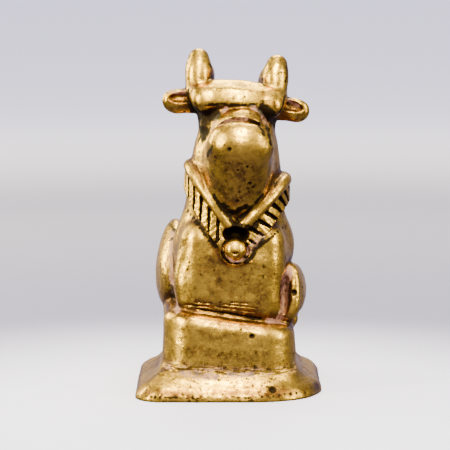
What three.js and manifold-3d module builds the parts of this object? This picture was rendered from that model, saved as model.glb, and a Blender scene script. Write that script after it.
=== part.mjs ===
// A small cast brass bull, lying with its head up on a plinth with a flared foot, all poured in one piece.
// Millimetres, +Z up. The bull faces -Y with its left side on +X. The origin is the middle of the underside.
import * as THREE from "three";
import { mergeVertices } from "three/addons/utils/BufferGeometryUtils.js";
import Module from "manifold-3d";

// The foot is a sloping skirt round the plinth, on a low rim. Its corners are uneven, being filed by hand.
const footWidth = 38;
const footLength = 50;
const footHeight = 5.6;
const footRim = 1.7;
const footEdge = 0.8;
const footSlopeRun = 5.2;
const footBackFall = 0.05;
const footCornerFrontRight = 6;
const footCornerFrontLeft = 14;
const footCornerBack = 16;

// The plinth is a block with rounded upright corners. Its top falls towards the bull's left.
const plinthWidth = 26.4;
const plinthLength = 42;
const plinthHeight = 10.4;
const plinthCorner = 7;
const plinthEdge = 1.3;
const plinthTopSlope = 0.14;
const plinthBatter = 0.05;

// The bull leans to its left, and its head leans a little more.
const bullHeight = 54;
const bullLean = THREE.MathUtils.degToRad(2);
const headLean = THREE.MathUtils.degToRad(2.5);

// The collar is a smooth roll with a flat band under it, cut with slanting strokes.
const collarRollRadius = 1.3;
const collarBandWidth = 3.4;
const collarBandThickness = 2.2;
const collarBandEdge = 0.5;
const collarBandOverlap = 0.33;
const collarBandSetback = 0.39;
const strokeDepth = 0.7;
const strokeWidth = 0.8;
const strokePitchRight = 1.9;
const strokePitchLeft = 2.2;
const strokeSlantRight = THREE.MathUtils.degToRad(40);
const strokeSlantLeft = THREE.MathUtils.degToRad(108);

// The bell is a ball with a slot across it, in a groove with a raised rim.
const bellRadius = 2.3;
const bellSlotWidth = 1.3;
const bellSlotHeight = 0.6;
const bellSlotDepth = 0.8;
const bellRingGap = 0.1;
const bellRingWidth = 0.7;
const bellRimWidth = 0.6;

// How finely the form is sampled, how many triangles are kept, and how far the form runs on under the ground.
const cell = 0.46;
const belowGround = 1.5;
const trianglesKept = 9400;

const brassColour = 0xb08a3c;

const seat = footHeight + plinthHeight;

// The bull's places and radii are written in hundredths of its own height, counted from where it sits.
const percent = bullHeight / 100;
const at = (x, y, z) => [x * percent, y * percent, seat + z * percent];
const radii = (...shares) => shares.map((share) => share * percent);

// A form is a function of x, y and z. It gives about how far a point lies outside the form, and less than
// nothing inside it. Further off than this, it gives the distance to the ball or box that the form lies in.
const farOff = 4;

const boxRound = (points, margin) => new THREE.Box3().setFromPoints(points).expandByScalar(margin);

function outsideBox({ min, max }, x, y, z) {
  const dx = Math.max(min.x - x, x - max.x, 0);
  const dy = Math.max(min.y - y, y - max.y, 0);
  const dz = Math.max(min.z - z, z - max.z, 0);
  return Math.sqrt(dx * dx + dy * dy + dz * dz);
}

const length2 = (a, b) => Math.sqrt(a * a + b * b);

// An egg with three radii, turned about its own middle.
function egg([cx, cy, cz], [rx, ry, rz], turn = [0, 0, 0]) {
  const m = new THREE.Matrix4().makeRotationFromEuler(new THREE.Euler(...turn)).elements;
  const ball = Math.max(rx, ry, rz);
  return (x, y, z) => {
    const px = x - cx;
    const py = y - cy;
    const pz = z - cz;
    const away = px * px + py * py + pz * pz;
    if (away > (ball + farOff) ** 2) return Math.sqrt(away) - ball;
    const ax = (m[0] * px + m[1] * py + m[2] * pz) / rx;
    const ay = (m[4] * px + m[5] * py + m[6] * pz) / ry;
    const az = (m[8] * px + m[9] * py + m[10] * pz) / rz;
    const reach = Math.sqrt(ax * ax + ay * ay + az * az);
    const slope = Math.sqrt((ax / rx) ** 2 + (ay / ry) ** 2 + (az / rz) ** 2);
    return slope < 1e-9 ? -Math.min(rx, ry, rz) : (reach * (reach - 1)) / slope;
  };
}

// A round limb along a smooth curve, with a radius at each of its points.
function limb(points, thickness, steps = 3) {
  const curve = new THREE.CatmullRomCurve3(points.map((p) => new THREE.Vector3(...p)), false, "catmullrom");
  const count = (points.length - 1) * steps;
  const nodes = curve.getPoints(count).map((p, i) => {
    const place = (i / count) * (points.length - 1);
    const before = Math.min(Math.floor(place), points.length - 2);
    return [p.x, p.y, p.z, THREE.MathUtils.lerp(thickness[before], thickness[before + 1], place - before)];
  });
  const box = boxRound(nodes.map(([x, y, z]) => new THREE.Vector3(x, y, z)), Math.max(...thickness));
  return (x, y, z) => {
    const away = outsideBox(box, x, y, z);
    if (away > farOff) return away;
    let nearest = Infinity;
    for (let i = 0; i < count; i++) {
      const [ax, ay, az, ar] = nodes[i];
      const [bx, by, bz, br] = nodes[i + 1];
      const dx = bx - ax;
      const dy = by - ay;
      const dz = bz - az;
      const along = ((x - ax) * dx + (y - ay) * dy + (z - az) * dz) / (dx * dx + dy * dy + dz * dz);
      const t = Math.min(Math.max(along, 0), 1);
      const gap = Math.sqrt((x - ax - t * dx) ** 2 + (y - ay - t * dy) ** 2 + (z - az - t * dz) ** 2);
      nearest = Math.min(nearest, gap - ar - t * (br - ar));
    }
    return nearest;
  };
}

// A block with all its edges rounded.
function block([cx, cy, cz], [hx, hy, hz], edge) {
  return (x, y, z) => {
    const qx = Math.abs(x - cx) - hx + edge;
    const qy = Math.abs(y - cy) - hy + edge;
    const qz = Math.abs(z - cz) - hz + edge;
    const outside = Math.sqrt(Math.max(qx, 0) ** 2 + Math.max(qy, 0) ** 2 + Math.max(qz, 0) ** 2);
    return outside + Math.min(Math.max(qx, qy, qz), 0) - edge;
  };
}

// Two distances run together over a fillet of about that size.
function soften(a, b, fillet) {
  const near = Math.max(fillet - Math.abs(a - b), 0) / fillet;
  return Math.min(a, b) - near * near * fillet * 0.25;
}

// Forms joined with a fillet between each and what is already there.
function join(fillet, ...forms) {
  return (x, y, z) => {
    let d = forms[0](x, y, z);
    for (let i = 1; i < forms.length; i++) d = soften(d, forms[i](x, y, z), fillet);
    return d;
  };
}

// One form with others cut out of it, and the cut's edges rounded over.
function carve(fillet, form, ...tools) {
  return (x, y, z) => {
    let d = form(x, y, z);
    for (const tool of tools) d = -soften(-d, tool(x, y, z), fillet);
    return d;
  };
}

// A form turned about the Y axis through a point, clockwise as seen from the front.
function leaning(form, [px, , pz], angle) {
  const c = Math.cos(angle);
  const s = Math.sin(angle);
  return (x, y, z) => form(px + c * (x - px) - s * (z - pz), y, pz + s * (x - px) + c * (z - pz));
}

const bothSides = (make) => [make(-1), make(1)];

// How far a point in plan lies outside a rectangle with rounded corners.
function outsideRectangle(x, y, width, length, corner) {
  const qx = Math.abs(x) - width / 2 + corner;
  const qy = Math.abs(y) - length / 2 + corner;
  return length2(Math.max(qx, 0), Math.max(qy, 0)) + Math.min(Math.max(qx, qy), 0) - corner;
}

// The rim goes straight down past the ground, where the figure is cut off.
function foot(x, y, z) {
  const frontCorner = x < 0 ? footCornerFrontRight : footCornerFrontLeft;
  const edge = outsideRectangle(x, y, footWidth, footLength, y < 0 ? frontCorner : footCornerBack);
  const inward = Math.min(Math.max(-edge / footSlopeRun, 0), 1);
  const rise = footHeight - footRim - (y + footLength / 2) * footBackFall;
  const steepness = length2(rise, footSlopeRun) / footSlopeRun;
  const above = (z - footRim - rise * inward) / steepness;
  return -soften(-edge, -above, footEdge * 2);
}

function plinth(x, y, z) {
  const spread = (seat - z) * plinthBatter;
  const side = outsideRectangle(x, y, plinthWidth, plinthLength, plinthCorner) - spread;
  const above = z - seat + x * plinthTopSlope;
  return -soften(-side, -above, plinthEdge * 2);
}

// The trunk, chest and neck run into one another. The chest is flat in front with full sides.
function trunk() {
  const barrel = egg(at(0, 8, 14), radii(22, 31, 22));
  const rump = egg(at(0, 25, 12), radii(19, 14.5, 18));
  const chest = block(at(0.4, -14, 12), radii(20.4, 19.5, 17.5), 9.5 * percent);
  const shoulders = egg(at(1.5, -10, 26), radii(22, 19, 16));
  const nape = [at(0.6, -12, 28), at(0.6, -14, 44), at(0.6, -16, 58), at(0.6, -18, 68)];
  const neck = limb(nape, radii(19, 18.2, 16.6, 14.4));
  const hump = egg(at(0, 7, 42), radii(8, 10, 12), [-0.35, 0, 0]);
  return join(7 * percent, barrel, rump, chest, shoulders, neck, hump);
}

// The hind legs lie folded along the plinth's sides, with the hoofs forward. The right thigh is the longer.
function thighs() {
  const rightThigh = egg(at(-22.6, 12, 14), radii(6.2, 20, 15), [0.6, 0.1, 0]);
  const leftThigh = egg(at(24.8, 13, 5.5), radii(5.4, 18, 9), [0.12, -0.1, 0]);
  return [rightThigh, leftThigh];
}

function shanks() {
  const rightHock = [at(-23, 30, 8), at(-23.4, 25, 0), at(-22.4, 10, -1.6), at(-21.6, -4, -2.4)];
  const leftHock = [at(23.6, 31, 4), at(24.8, 24, -3), at(24.4, 10, -3.6), at(23.8, -2, -4.6)];
  const rightShank = limb(rightHock, radii(3.8, 3.8, 3, 3.2));
  const leftShank = limb(leftHock, radii(3.8, 3.6, 2.8, 3));
  return [rightShank, leftShank];
}

// The right foreleg is folded down the corner of the chest. The left one lies apart from it, with a hooked
// ridge along its front.
function foreLegs() {
  const right = limb([at(-14, -24, 28), at(-16, -27, 14), at(-15, -27, 4)], radii(5, 5, 4.5));
  const elbow = egg(at(20.6, -7, 8), radii(5.2, 15, 11));
  const forearm = egg(at(23.2, -16.6, 9), radii(2.9, 8.4, 10.4));
  const shin = [[19.6, -18, 18.6], [22.8, -21, 17.4], [24.2, -23, 11.6], [24, -24, 4.8], [22, -24, 0]];
  const left = limb(shin.map((place) => at(...place)), radii(2, 2.3, 2.6, 2.8, 2.8));
  return [right, elbow, forearm, left];
}

function tail() {
  return limb(
    [at(0, 36, 26), at(3, 40.5, 16), at(10, 39, 6), at(18, 34, 3), at(23, 27, 8)],
    radii(2.4, 2, 1.8, 1.8, 2.8),
  );
}

// The brow is a thick bar with a lobe at each end, and slopes out to a thinner lower edge. It hangs over sunk
// eyes and a short round muzzle, which is turned a little to the left.
function head() {
  const noseAside = 2.2;
  const skull = egg(at(0, -17, 76.6), radii(15.2, 12, 11.4));
  const crown = limb([at(-14, -19, 82.4), at(0, -21.4, 82.8), at(14, -19, 82.4)], radii(4.8, 5.5, 4.8));
  const brow = limb([at(-14, -23, 81.4), at(0, -26, 82.2), at(14, -23, 81.4)], radii(4, 4, 4));
  const visor = limb([at(-13, -25.4, 80), at(0, -29.2, 81), at(13, -25.4, 80)], radii(2.4, 2.2, 2.4));
  const lobes = bothSides((side) => egg(at(side * 12, -25, 79.6), radii(5, 4.4, 4.6)));
  const bridge = egg(at(noseAside, -28.6, 71), radii(9.3, 11, 8));
  const muzzle = egg(at(noseAside, -36.6, 65.6), radii(12.5, 9.4, 9.2), [0.2, 0, 0]);
  const jaw = egg(at(noseAside * 0.8, -30, 58.5), radii(12.4, 13, 10.5));
  const gullet = [at(noseAside, -29, 60), at(noseAside + 0.2, -27.5, 50), at(noseAside - 0.6, -22, 38)];
  const throat = limb(gullet, radii(11.8, 12, 8.5));
  const sockets = bothSides((side) => egg(at(side * 11.4, -29.5, 73), radii(3.2, 6, 4.6)));
  const eyes = bothSides((side) => egg(at(side * 11.2, -23.4, 71), radii(1.8, 2, 2)));
  const crease = [[-8.8, -32, 69.8], [-6, -36.4, 72.9], [0, -38.4, 74.6], [6, -36.4, 72.9], [8.8, -32, 69.8]];
  const noseGroove = limb(crease.map(([x, y, z]) => at(noseAside + x, y, z)), radii(0.9, 1.4, 1.5, 1.4, 0.9));
  const face = join(3.5 * percent, skull, jaw, throat, join(1.2 * percent, bridge, muzzle));
  const hollowed = carve(0.8 * percent, carve(1.5 * percent, face, ...sockets), noseGroove);
  const forehead = join(2 * percent, crown, brow, visor);
  return join(1.2 * percent, hollowed, forehead, ...lobes, ...eyes, ...ears(), ...horns());
}

// Each ear sticks straight out with a blunt tip, and has a slot along its front.
function ears() {
  return bothSides((side) => {
    const leaf = egg(at(side * 17 - 0.5, -16, 78.8), radii(9, 3.4, 4.8), [0, side * 0.08, 0]);
    const tip = egg(at(side * 23 - 0.5, -16.4, 78.2), radii(4.8, 2.8, 4.3));
    const slot = egg(at(side * 20 - 0.5, -19.8, 80.2), radii(6, 3, 2.1), [0, side * 0.16, 0]);
    return carve(0.6 * percent, join(2 * percent, leaf, tip), slot);
  });
}

// Each horn is short and thick, goes up from the brow and swells out behind its own tip.
function horns() {
  return bothSides((side) => {
    const spot = (aside, y, z) => at(side * aside - 1, y, z);
    const front = limb([spot(14.3, -18, 83), spot(14.5, -16, 90), spot(14.9, -13, 94.6)], radii(4.6, 5, 4));
    const back = egg(spot(13.5, -10, 88), radii(5.2, 6, 6.4));
    return join(3 * percent, front, back);
  });
}

// Where the collar's roll lies, by its angle round the neck from the throat, positive on the bull's left.
function collarPoint(angle) {
  const aside = Math.sin(angle);
  const back = Math.max(-Math.cos(angle), 0);
  const x = 1.4 + 18.1 * aside;
  const y = -16.4 - 17.2 * Math.cos(angle);
  const z = 32 + 21.4 * Math.abs(aside) + 8 * back ** 2 - 0.1 * x;
  return new THREE.Vector3(...at(x, y, z));
}

// The collar is found from its nearest stretch: along it, out from the neck, and down over the chest.
function collar() {
  const stretches = 72;
  const points = [];
  for (let i = 0; i <= stretches; i++) points.push(collarPoint((2 * Math.PI * i) / stretches - Math.PI));
  const neckAxis = new THREE.Vector3(...at(0.5, -16.4, 0));
  let travelled = 0;
  const parts = points.slice(1).map((end, i) => {
    const start = points[i];
    const run = end.clone().sub(start);
    const middle = start.clone().add(end).multiplyScalar(0.5);
    const outward = middle.clone().sub(neckAxis).setZ(0).normalize();
    outward.setZ(0.05).addScaledVector(run, -outward.dot(run) / run.lengthSq()).normalize();
    const downward = outward.clone().cross(run).normalize();
    if (downward.z > 0) downward.negate();
    const part = { start, run, outward, downward, length: run.length(), from: travelled };
    travelled += part.length;
    return part;
  });
  const box = boxRound(points, collarRollRadius + collarBandWidth);
  return (x, y, z) => {
    const away = outsideBox(box, x, y, z);
    if (away > 1) return away;
    let best = Infinity;
    let found = parts[0];
    let share = 0;
    for (const part of parts) {
      const px = x - part.start.x;
      const py = y - part.start.y;
      const pz = z - part.start.z;
      const along = (px * part.run.x + py * part.run.y + pz * part.run.z) / part.length ** 2;
      const t = Math.min(Math.max(along, 0), 1);
      const gap = (px - t * part.run.x) ** 2 + (py - t * part.run.y) ** 2 + (pz - t * part.run.z) ** 2;
      if (gap < best) {
        best = gap;
        found = part;
        share = t;
      }
    }
    const px = x - found.start.x - share * found.run.x;
    const py = y - found.start.y - share * found.run.y;
    const pz = z - found.start.z - share * found.run.z;
    const out = px * found.outward.x + py * found.outward.y + pz * found.outward.z;
    const down = px * found.downward.x + py * found.downward.y + pz * found.downward.z;
    const along = found.from + share * found.length - travelled / 2;
    return collarSection(out, down, along, Math.sqrt(best));
  };
}

// The collar cut across: the roll's circle and the band's flat bar, with strokes sunk in the band's face.
function collarSection(out, down, along, gap) {
  const roll = gap - collarRollRadius;
  const middle = collarRollRadius - collarBandOverlap + collarBandWidth / 2;
  const face = collarRollRadius - collarBandSetback;
  const across = Math.abs(down - middle) - collarBandWidth / 2 + collarBandEdge;
  const through = Math.abs(out - face + collarBandThickness / 2) - collarBandThickness / 2 + collarBandEdge;
  const beyond = length2(Math.max(across, 0), Math.max(through, 0));
  const band = beyond + Math.min(Math.max(across, through), 0) - collarBandEdge;
  const onRight = along < 0;
  const slant = onRight ? strokeSlantRight : strokeSlantLeft;
  const pitch = onRight ? strokePitchRight : strokePitchLeft;
  const place = (Math.abs(along) * Math.sin(slant) + down * Math.cos(slant)) / pitch;
  const stroke = Math.abs(place - Math.floor(place) - 0.5) * pitch - strokeWidth / 2;
  const groove = Math.max(stroke, face - strokeDepth - out);
  return Math.min(roll, Math.max(band, -groove));
}

// The bell hangs at the collar's lowest point, with a dark pocket over it.
const bellMiddle = at(1.4, -34.6, 26);

function bell() {
  const [x, y, z] = bellMiddle;
  const ball = egg(bellMiddle, [bellRadius, bellRadius, bellRadius]);
  const mouth = [x, y - bellRadius, z - bellRadius / 6];
  const slot = egg(mouth, [bellSlotWidth / 2, bellSlotDepth, bellSlotHeight / 2]);
  return carve(bellSlotHeight / 4, ball, slot);
}

// A round bar bent into a ring about the bell.
function hoop(radius, thickness) {
  const [x, y, z] = bellMiddle;
  return (px, py, pz) => length2(length2(px - x, pz - z) - radius, py - y) - thickness;
}

const bellRim = () => hoop(bellRadius + bellRingWidth, bellRimWidth / 2);

function bellHollows() {
  const [x, y, z] = bellMiddle;
  const above = egg([x, y, z + 1.35 * bellRadius], [1.15 * bellRadius, 1.3 * bellRadius, 0.7 * bellRadius]);
  return [above, hoop(bellRadius + bellRingGap, bellRingWidth / 2)];
}

// Deep hollows were left between the legs and the chest.
function legHollows() {
  const channel = [at(-21.2, -6, 37), at(-22.6, -9, 24), at(-22.6, -11, 8), at(-21.6, -12, 1)];
  const fold = limb(channel, radii(1.4, 1.9, 2.1, 2.2));
  const right = egg(at(-20.6, -18, 4), radii(1.9, 6, 7), [0.1, 0.12, 0]);
  const left = egg(at(20.4, -26, 9.2), radii(1.9, 5, 7.6));
  return [fold, right, left];
}

function bull() {
  const body = join(3 * percent, trunk(), ...thighs());
  const flesh = join(1.4 * percent, body, ...shanks(), ...foreLegs());
  const hollowed = carve(1 * percent, flesh, ...legHollows());
  const withTail = join(1.2 * percent, hollowed, tail());
  const withHead = join(3 * percent, withTail, leaning(head(), at(0, 0, 70), headLean));
  const collared = join(0.5, join(0.8, withHead, collar()), bellRim());
  return join(0.3, carve(0.4, collared, ...bellHollows()), bell());
}

function figure() {
  const base = join(2.2, plinth, foot);
  const whole = join(0.9, base, leaning(bull(), at(0, 0, 0), bullLean));
  return (x, y, z) => Math.max(whole(x, y, z), -z - belowGround);
}

// The surface of a form: one corner in each cell of a lattice that the surface passes through, and a face
// across each lattice edge that it cuts.
function skin(form, box, step) {
  const size = box.getSize(new THREE.Vector3());
  const [nx, ny, nz] = [size.x, size.y, size.z].map((length) => Math.ceil(length / step) + 1);
  const place = (i, j, k) => [box.min.x + i * step, box.min.y + j * step, box.min.z + k * step];
  const samples = sample(form, place, [nx, ny, nz], step);
  fillCracks(samples, [nx, ny, nz]);
  fillBubbles(samples, [nx, ny, nz]);
  const cornerOf = new Int32Array(samples.length).fill(-1);
  const positions = [];
  const faces = [];
  const cellEdges = [];
  for (let a = 0; a < 8; a++) for (const b of [1, 2, 4]) if (!(a & b)) cellEdges.push([a, a | b]);
  const steps = [1, nx, nx * ny];
  const offset = (corner) => steps.reduce((sum, step, axis) => sum + ((corner >> axis) & 1) * step, 0);
  const offsets = cellEdges.map((edge) => edge.map(offset));
  for (let k = 0; k < nz - 1; k++) {
    for (let j = 0; j < ny - 1; j++) {
      for (let i = 0; i < nx - 1; i++) {
        const here = i * steps[0] + j * steps[1] + k * steps[2];
        const middle = [0, 0, 0];
        let crossings = 0;
        for (let e = 0; e < cellEdges.length; e++) {
          const before = samples[here + offsets[e][0]];
          const after = samples[here + offsets[e][1]];
          if (before < 0 === after < 0) continue;
          const [a, b] = cellEdges[e];
          const t = before / (before - after);
          for (let axis = 0; axis < 3; axis++) {
            middle[axis] += ((a >> axis) & 1) + t * (((b >> axis) & 1) - ((a >> axis) & 1));
          }
          crossings++;
        }
        if (!crossings) continue;
        cornerOf[here] = positions.length / 3;
        const within = [i, j, k];
        positions.push(...place(...within.map((index, axis) => index + middle[axis] / crossings)));
        for (let axis = 0; axis < 3; axis++) {
          const u = (axis + 1) % 3;
          const v = (axis + 2) % 3;
          if (!within[u] || !within[v]) continue;
          const isInside = samples[here] < 0;
          if (isInside === samples[here + steps[axis]] < 0) continue;
          const cells = [here, here - steps[u], here - steps[u] - steps[v], here - steps[v]];
          const ring = cells.map((c) => cornerOf[c]);
          if (!isInside) ring.reverse();
          faces.push(ring[0], ring[1], ring[2], ring[0], ring[2], ring[3]);
        }
      }
    }
  }
  return { positions, faces };
}

// The form at every lattice point. A block of points well away from the surface takes its middle's value.
function sample(form, place, [nx, ny, nz], step) {
  const samples = new Float32Array(nx * ny * nz);
  const span = 5;
  const half = (span - 1) / 2;
  const farEnough = Math.sqrt(3) * half * step * 1.7 + step;
  for (let k = 0; k < nz; k += span) {
    for (let j = 0; j < ny; j += span) {
      for (let i = 0; i < nx; i += span) {
        const middle = form(...place(i + half, j + half, k + half));
        const isFar = Math.abs(middle) > farEnough;
        for (let c = k; c < Math.min(k + span, nz); c++) {
          for (let b = j; b < Math.min(j + span, ny); b++) {
            for (let a = i; a < Math.min(i + span, nx); a++) {
              samples[a + b * nx + c * nx * ny] = isFar ? middle : form(...place(a, b, c));
            }
          }
        }
      }
    }
  }
  return samples;
}

// Bubbles that are shut in, as where the collar comes close to the neck, are filled: what can't be reached
// from the lattice's first corner counts as inside.
function fillBubbles(samples, [nx, ny, nz]) {
  const reached = new Uint8Array(samples.length);
  const waiting = [0];
  reached[0] = 1;
  while (waiting.length) {
    const here = waiting.pop();
    const i = here % nx;
    const j = Math.floor(here / nx) % ny;
    const k = Math.floor(here / (nx * ny));
    const beside = [i > 0 && here - 1, i < nx - 1 && here + 1, j > 0 && here - nx, j < ny - 1 && here + nx];
    beside.push(k > 0 && here - nx * ny, k < nz - 1 && here + nx * ny);
    for (const next of beside) {
      if (next === false || reached[next] || samples[next] < 0) continue;
      reached[next] = 1;
      waiting.push(next);
    }
  }
  for (let n = 0; n < samples.length; n++) {
    if (samples[n] >= 0 && !reached[n]) samples[n] = -cell / 4;
  }
}

// Where four neighbouring points are inside and outside in turn, two sheets of the surface would share an
// edge. One of the outside points counts as inside, which fills the crack.
function fillCracks(samples, [nx, ny, nz]) {
  const steps = [1, nx, nx * ny];
  const last = samples.length - steps[1] - steps[2];
  for (let isWhole = false; !isWhole; ) {
    isWhole = true;
    for (const [u, v] of [[0, 1], [0, 2], [1, 2]]) {
      for (let here = 0; here < last; here++) {
        const isInside = samples[here] < 0;
        const across = here + steps[u] + steps[v];
        if (isInside !== samples[across] < 0) continue;
        if (isInside === samples[here + steps[u]] < 0 || isInside === samples[here + steps[v]] < 0) continue;
        samples[isInside ? here + steps[u] : here] = -cell / 4;
        isWhole = false;
      }
    }
  }
}

// Fewer triangles for the same surface: the edge whose loss moves the surface least goes first.
function thin({ positions, faces }, wanted) {
  const corners = positions.length / 3;
  const place = Float64Array.from(positions);
  const around = Array.from({ length: corners }, () => new Set());
  const error = new Float64Array(corners * 10);
  const alive = new Uint8Array(faces.length / 3).fill(1);
  const changed = new Int32Array(corners);
  const triangle = (f) => [faces[3 * f], faces[3 * f + 1], faces[3 * f + 2]];
  const point = (v) => new THREE.Vector3(place[3 * v], place[3 * v + 1], place[3 * v + 2]);
  const areaNormal = (a, b, c) => b.clone().sub(a).cross(c.clone().sub(a));

  for (let f = 0; f < alive.length; f++) {
    const [a, b, c] = triangle(f);
    const normal = areaNormal(point(a), point(b), point(c));
    const area = normal.length();
    if (area > 0) normal.divideScalar(area);
    const plane = [normal.x, normal.y, normal.z, -normal.dot(point(a))];
    for (const v of [a, b, c]) {
      around[v].add(f);
      let slot = 10 * v;
      for (let i = 0; i < 4; i++) for (let j = i; j < 4; j++) error[slot++] += area * plane[i] * plane[j];
    }
  }

  // The place for the corner that an edge shrinks to, and what it costs.
  function plan(a, b) {
    const q = new Array(10);
    for (let i = 0; i < 10; i++) q[i] = error[10 * a + i] + error[10 * b + i];
    const middle = point(a).add(point(b)).multiplyScalar(0.5);
    const hold = 1e-3 * (q[0] + q[4] + q[7]) + 1e-9;
    const [xx, yy, zz] = [q[0] + hold, q[4] + hold, q[7] + hold];
    const m = new THREE.Matrix3(xx, q[1], q[2], q[1], yy, q[5], q[2], q[5], zz);
    const side = new THREE.Vector3(hold * middle.x - q[3], hold * middle.y - q[6], hold * middle.z - q[8]);
    const spot = side.applyMatrix3(m.invert());
    const { x, y, z } = spot;
    const cost =
      q[0] * x * x + q[4] * y * y + q[7] * z * z + q[9] +
      2 * (q[1] * x * y + q[2] * x * z + q[3] * x + q[5] * y * z + q[6] * y + q[8] * z);
    return { cost: cost + 1e-6 * point(a).distanceToSquared(point(b)), spot };
  }

  const queue = new Queue();
  const offer = (a, b) => {
    const { cost, spot } = plan(a, b);
    queue.push({ cost, spot, a, b, stamp: changed[a] + changed[b] });
  };
  const neighbours = (v) => {
    const found = new Set();
    for (const f of around[v]) for (const w of triangle(f)) if (w !== v) found.add(w);
    return found;
  };
  for (let v = 0; v < corners; v++) for (const w of neighbours(v)) if (w > v) offer(v, w);

  // Whether every triangle round a corner still faces about the same way once the corner has moved.
  function staysUp(v, other, spot) {
    for (const f of around[v]) {
      const t = triangle(f);
      if (t.includes(other)) continue;
      const before = t.map(point);
      const after = t.map((w, i) => (w === v ? spot : before[i]));
      const was = areaNormal(...before);
      const is = areaNormal(...after);
      const longest = Math.max(...after.map((p, i) => p.distanceToSquared(after[(i + 1) % 3])));
      if (is.dot(was) < 0.3 * is.length() * was.length() || is.length() < 0.06 * longest) return false;
    }
    return true;
  }

  let left = alive.length;
  while (left > wanted && queue.size) {
    const { a, b, spot, stamp } = queue.pop();
    if (!around[a].size || !around[b].size || changed[a] + changed[b] !== stamp) continue;
    const beside = neighbours(b);
    if (!beside.has(a)) continue;
    const shared = [...neighbours(a)].filter((v) => beside.has(v));
    if (shared.length !== 2 || !staysUp(a, b, spot) || !staysUp(b, a, spot)) continue;
    for (const f of [...around[b]]) {
      if (triangle(f).includes(a)) {
        alive[f] = 0;
        left--;
        for (const v of triangle(f)) around[v].delete(f);
      } else {
        faces[3 * f + triangle(f).indexOf(b)] = a;
        around[a].add(f);
      }
    }
    around[b].clear();
    place.set([spot.x, spot.y, spot.z], 3 * a);
    for (let i = 0; i < 10; i++) error[10 * a + i] += error[10 * b + i];
    changed[a]++;
    for (const v of neighbours(a)) offer(a, v);
  }
  const kept = [];
  for (let f = 0; f < alive.length; f++) if (alive[f]) kept.push(...triangle(f));
  return { positions: place, faces: kept };
}

// A queue that gives its cheapest entry first.
class Queue {
  heap = [];

  get size() {
    return this.heap.length;
  }

  push(entry) {
    const { heap } = this;
    let i = heap.push(entry) - 1;
    while (i > 0) {
      const parent = (i - 1) >> 1;
      if (heap[parent].cost <= entry.cost) break;
      heap[i] = heap[parent];
      i = parent;
    }
    heap[i] = entry;
  }

  pop() {
    const { heap } = this;
    const top = heap[0];
    const last = heap.pop();
    if (!heap.length) return top;
    let i = 0;
    for (let child = 1; child < heap.length; child = 2 * i + 1) {
      if (child + 1 < heap.length && heap[child + 1].cost < heap[child].cost) child++;
      if (heap[child].cost >= last.cost) break;
      heap[i] = heap[child];
      i = child;
    }
    heap[i] = last;
    return top;
  }
}

function solidOf(wasm, { positions, faces }) {
  const used = new Map();
  const triVerts = Uint32Array.from(faces, (v) => {
    if (!used.has(v)) used.set(v, used.size);
    return used.get(v);
  });
  const vertProperties = new Float32Array(used.size * 3);
  for (const [v, i] of used) vertProperties.set([0, 1, 2].map((axis) => positions[3 * v + axis]), 3 * i);
  return new wasm.Manifold(new wasm.Mesh({ numProp: 3, vertProperties, triVerts }));
}

function geometryOf(solid) {
  const { vertProperties, triVerts } = solid.getMesh();
  const geometry = new THREE.BufferGeometry();
  geometry.setAttribute("position", new THREE.BufferAttribute(Float32Array.from(vertProperties), 3));
  geometry.setIndex(new THREE.BufferAttribute(Uint32Array.from(triVerts), 1));
  geometry.computeVertexNormals();
  return geometry;
}

// A slab that takes away everything under the ground.
function groundSlab(wasm, depth) {
  const slab = new THREE.BoxGeometry(2 * footWidth, 2 * footLength, depth).translate(0, 0, -depth / 2);
  slab.deleteAttribute("normal");
  slab.deleteAttribute("uv");
  const merged = mergeVertices(slab);
  return solidOf(wasm, { positions: merged.attributes.position.array, faces: merged.index.array });
}

const wasm = await Module();
wasm.setup();

// The lattice holds the whole foot, and the bull as far as its muzzle, ears, rump and horns reach.
const margin = 2;
const reached = [
  [-footWidth / 2, -footLength / 2, 0],
  [footWidth / 2, footLength / 2, 0],
  at(-33, -46, 0),
  at(33, 46, 100),
];
const sampled = boxRound(reached.map((corner) => new THREE.Vector3(...corner)), margin);
const cast = solidOf(wasm, thin(skin(figure(), sampled, cell), trianglesKept));
const brass = new THREE.MeshStandardMaterial({ color: brassColour, roughness: 0.34, metalness: 1 });
const bullFigure = new THREE.Mesh(geometryOf(cast.subtract(groundSlab(wasm, 2 * margin))), brass);
bullFigure.name = "nandi_bull_figure";

const nandi = new THREE.Group();
nandi.add(bullFigure);

export default nandi;
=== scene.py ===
import math

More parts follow.
